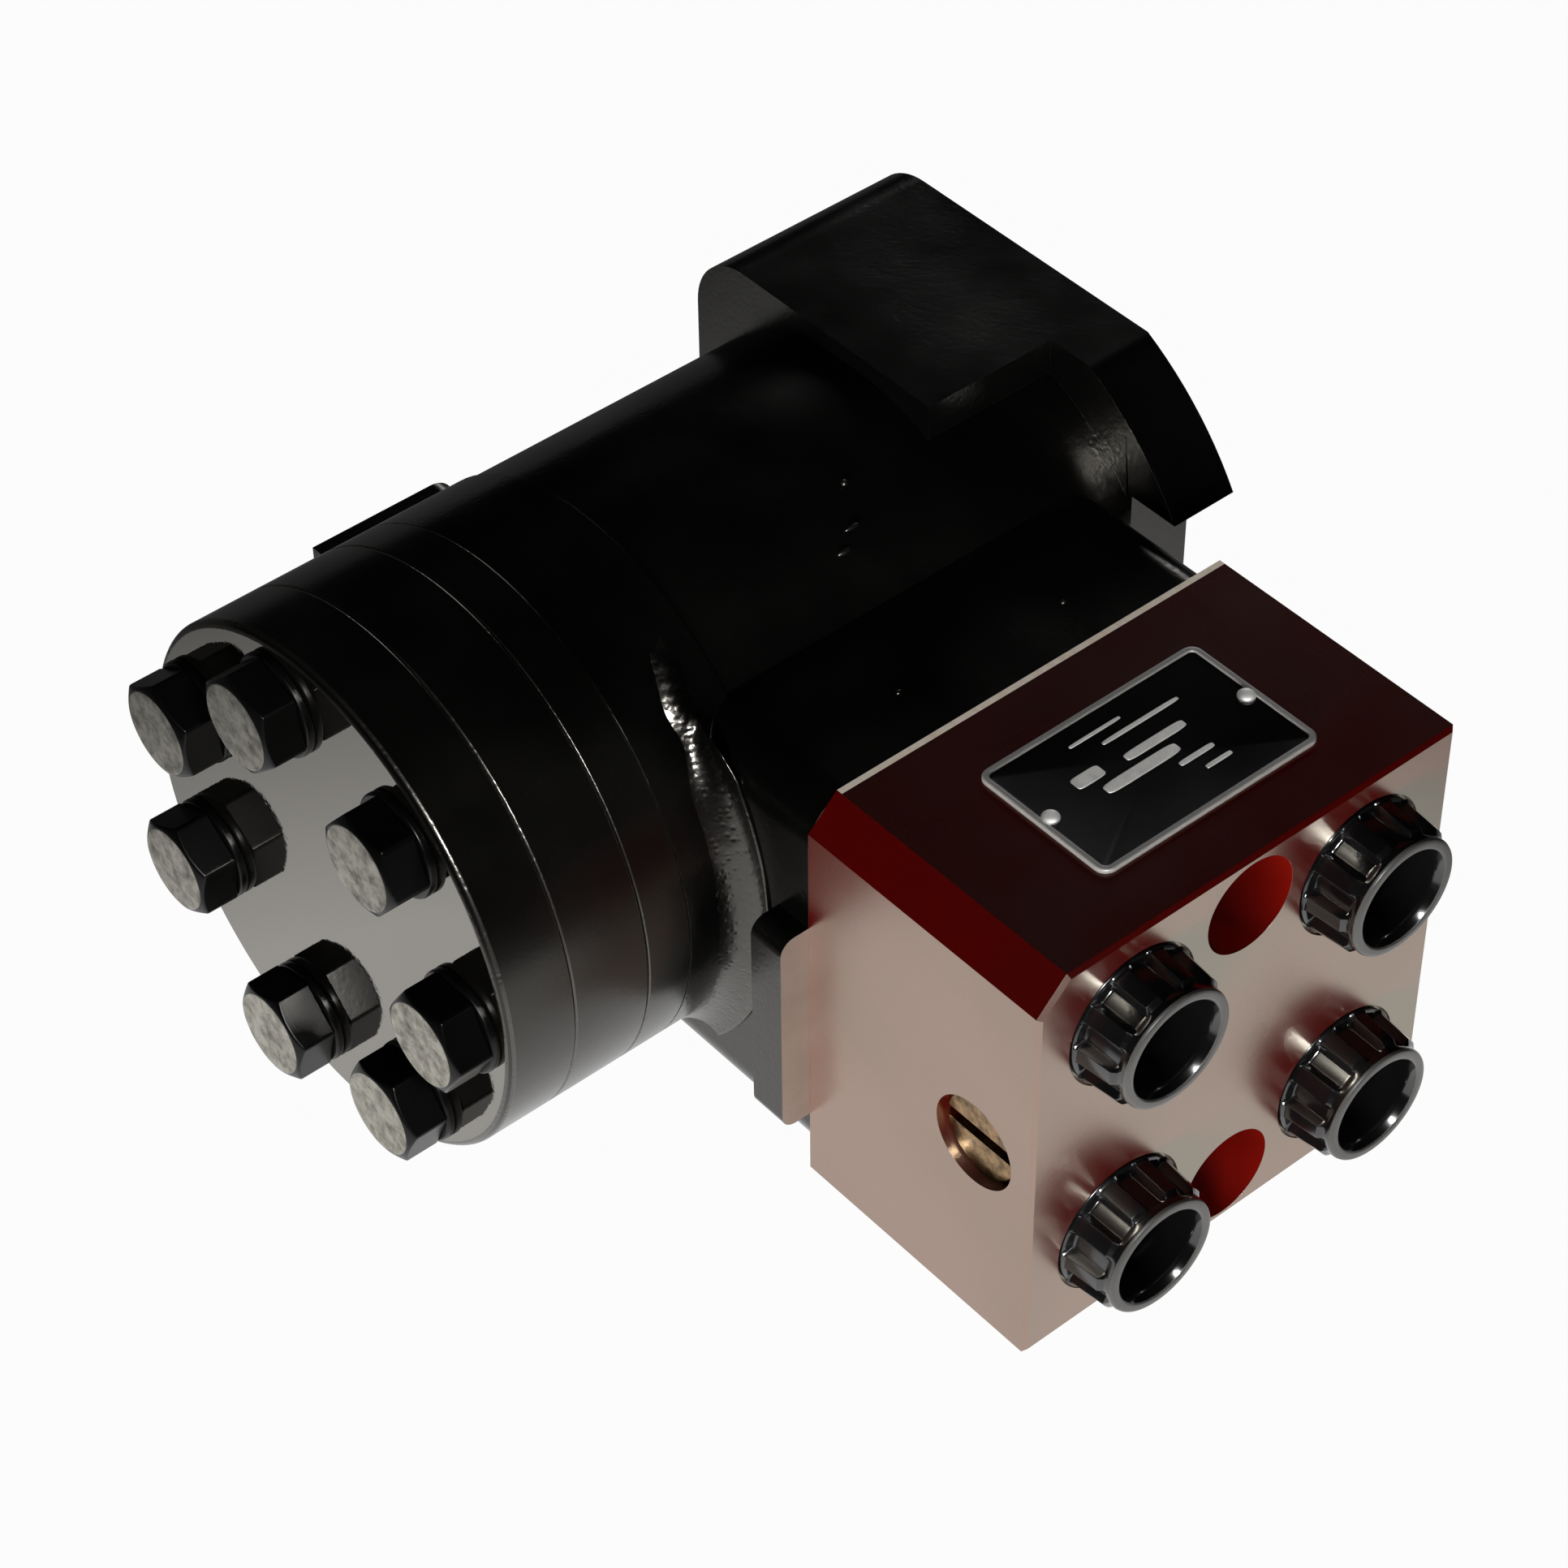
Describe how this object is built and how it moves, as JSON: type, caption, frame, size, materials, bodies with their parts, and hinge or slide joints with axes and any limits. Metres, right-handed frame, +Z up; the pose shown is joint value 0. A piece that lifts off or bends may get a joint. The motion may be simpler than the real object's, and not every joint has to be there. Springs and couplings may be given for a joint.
{
  "type": "orbital steering unit",
  "caption": "Hydrostatic orbital steering unit: cylindrical gear end with bolted cap, cast housing with column flange, and a side valve block with plugged ports.",
  "frame": {"origin": "centre of the mouth of the pilot bore in the column flange's face", "axes": "+X along the main axis, out of the column face, with the end cap towards -X; +Z up; the valve block and its ports face -Y"},
  "size_m": [0.1798, 0.1962, 0.112],
  "materials": {
    "black_enamel": "gloss",
    "red_enamel": "gloss",
    "nitrile_rubber": "satin",
    "ground_steel": "satin",
    "spring_steel": "satin",
    "zinc_steel": "satin",
    "cage_plastic": "matte",
    "brass": "satin",
    "plate_aluminium": "satin",
    "plug_plastic": "gloss"
  },
  "bodies": {
    "housing": {"housing": "black_enamel", "spacer_plate": "black_enamel", "gerotor_ring": "black_enamel", "end_cap": "black_enamel", "cover_bolts": "black_enamel", "cover_washers": "black_enamel", "housing_o_ring": "nitrile_rubber", "plate_o_ring": "nitrile_rubber", "cap_o_ring": "nitrile_rubber", "outer_race": "ground_steel", "shaft_seal": "nitrile_rubber", "retaining_ring": "spring_steel", "valve_block": "red_enamel", "block_bolts": "zinc_steel", "passage_o_rings": "nitrile_rubber", "relief_plug": "brass", "relief_seat": "ground_steel", "relief_spring": "spring_steel", "shock_plugs": "zinc_steel", "shock_seats": "ground_steel", "shock_spring_upper": "spring_steel", "shock_spring_lower": "spring_steel", "check_seat": "ground_steel", "nameplate": "plate_aluminium", "nameplate_rivets": "ground_steel"},
    "sleeve": {"valve_sleeve": "ground_steel", "cross_pin": "ground_steel", "inner_race": "ground_steel", "flat_leaf_springs": "spring_steel", "bowed_leaf_springs": "spring_steel"},
    "spool": {"valve_spool": "ground_steel"},
    "orbit": {"drive_spacer": "ground_steel"},
    "rotor": {"rotor": "ground_steel"},
    "cardan": {"cardan_shaft": "ground_steel"},
    "bearing": {"needle_cage": "cage_plastic", "needle_rollers": "ground_steel"},
    "relief_poppet": {"relief_poppet": "ground_steel"},
    "shock_poppet_upper": {"shock_poppet_upper": "ground_steel"},
    "shock_poppet_lower": {"shock_poppet_lower": "ground_steel"},
    "check_ball": {"check_ball": "ground_steel"},
    "pump_port_plug": {"pump_port_plug": "plug_plastic"},
    "tank_port_plug": {"tank_port_plug": "plug_plastic"},
    "left_port_plug": {"left_port_plug": "plug_plastic"},
    "right_port_plug": {"right_port_plug": "plug_plastic"}
  },
  "joints": [
    {"name": "sleeve_turn", "type": "hinge", "parent": "housing", "child": "sleeve", "pos_m": [0, 0, 0], "axis": [1, 0, 0], "continuous": true},
    {"name": "spool_shift", "type": "hinge", "parent": "sleeve", "child": "spool", "pos_m": [0, 0, 0], "axis": [1, 0, 0], "range_deg": [-8, 8], "stiffness_Nm_per_rad": 3, "deforming": ["flat_leaf_springs", "bowed_leaf_springs"]},
    {"name": "rotor_orbit", "type": "hinge", "parent": "housing", "child": "orbit", "pos_m": [0, 0, 0], "axis": [1, 0, 0], "continuous": true},
    {"name": "rotor_spin", "type": "hinge", "parent": "orbit", "child": "rotor", "pos_m": [0, -0.00193, 0.0023], "axis": [1, 0, 0], "continuous": true},
    {"name": "cardan_spin", "type": "hinge", "parent": "orbit", "child": "cardan", "pos_m": [-0.07, 0, 0], "axis": [0.9992, 0.0255, -0.0304], "continuous": true},
    {"name": "bearing_roll", "type": "hinge", "parent": "housing", "child": "bearing", "pos_m": [0, 0, 0], "axis": [1, 0, 0], "continuous": true},
    {"name": "relief_lift", "type": "slide", "parent": "housing", "child": "relief_poppet", "axis": [-1, 0, 0], "range_m": [0, 0.002], "stiffness_N_per_m": 4000, "springref_m": -0.001, "deforming": ["relief_spring"]},
    {"name": "shock_lift_upper", "type": "slide", "parent": "housing", "child": "shock_poppet_upper", "axis": [1, 0, 0], "range_m": [0, 0.002], "stiffness_N_per_m": 4000, "springref_m": -0.001, "deforming": ["shock_spring_upper"]},
    {"name": "shock_lift_lower", "type": "slide", "parent": "housing", "child": "shock_poppet_lower", "axis": [1, 0, 0], "range_m": [0, 0.002], "stiffness_N_per_m": 4000, "springref_m": -0.001, "deforming": ["shock_spring_lower"]},
    {"name": "check_lift", "type": "slide", "parent": "housing", "child": "check_ball", "axis": [0, 1, 0], "range_m": [0, 0.002]},
    {"name": "pump_plug_pull", "type": "slide", "parent": "housing", "child": "pump_port_plug", "axis": [0, -1, 0], "range_m": [0, 0.04]},
    {"name": "tank_plug_pull", "type": "slide", "parent": "housing", "child": "tank_port_plug", "axis": [0, -1, 0], "range_m": [0, 0.04]},
    {"name": "left_plug_pull", "type": "slide", "parent": "housing", "child": "left_port_plug", "axis": [0, -1, 0], "range_m": [0, 0.04]},
    {"name": "right_plug_pull", "type": "slide", "parent": "housing", "child": "right_port_plug", "axis": [0, -1, 0], "range_m": [0, 0.04]}
  ],
  "couplings": [
    {"joint": "rotor_orbit", "follows": "sleeve_turn", "ratio": -6},
    {"joint": "rotor_spin", "follows": "sleeve_turn", "ratio": 7},
    {"joint": "cardan_spin", "follows": "sleeve_turn", "ratio": 7},
    {"joint": "bearing_roll", "follows": "sleeve_turn", "ratio": 0.5}
  ]
}
